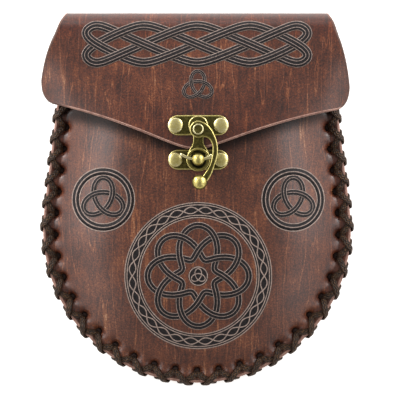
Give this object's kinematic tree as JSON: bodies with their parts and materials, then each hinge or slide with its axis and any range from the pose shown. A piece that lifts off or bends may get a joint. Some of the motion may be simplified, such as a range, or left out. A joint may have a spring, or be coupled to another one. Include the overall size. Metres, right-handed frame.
{
  "type": "belt pouch",
  "caption": "Round-bottomed leather belt pouch with a laced rim, an embossed flap, a brass swing clasp and a belt loop on the back.",
  "frame": {"origin": "centre of the bounding box, on the surface that the pouch lies on", "axes": "+X across the pouch to the right as seen from its front, +Y toward the fold at the top, +Z out of the front, away from the surface it lies on"},
  "size_m": [0.1436, 0.1704, 0.0418],
  "materials": {
    "leather": "red-brown vegetable-tanned leather, antiqued and waxed to a soft sheen",
    "lace": "dark brown leather lace, waxed",
    "brass": "antique brass, dark in the hollows and bright on the edges"
  },
  "bodies": {
    "pouch": {"back_panel_flap": "leather", "front_panel": "leather", "edge_lacing": "lace", "belt_loop": "leather", "loop_rivet_lower_left": "brass", "loop_rivet_lower_right": "brass", "loop_rivet_upper_left": "brass", "loop_rivet_upper_right": "brass", "hasp_plate": "brass", "catch_plate": "brass", "pivot_rivet": "brass", "hasp_rivet_left": "brass", "catch_rivet_left": "brass", "hasp_rivet_right": "brass", "catch_rivet_right": "brass"},
    "swing_arm": {"swing_arm": "brass"}
  },
  "joints": [
    {"name": "swing_arm_pivot", "type": "hinge", "parent": "pouch", "child": "swing_arm", "pos_m": [0.0006, 0.03042, 0.03879], "axis": [0, -0.0536, 0.9986], "range_deg": [0, 110]}
  ]
}
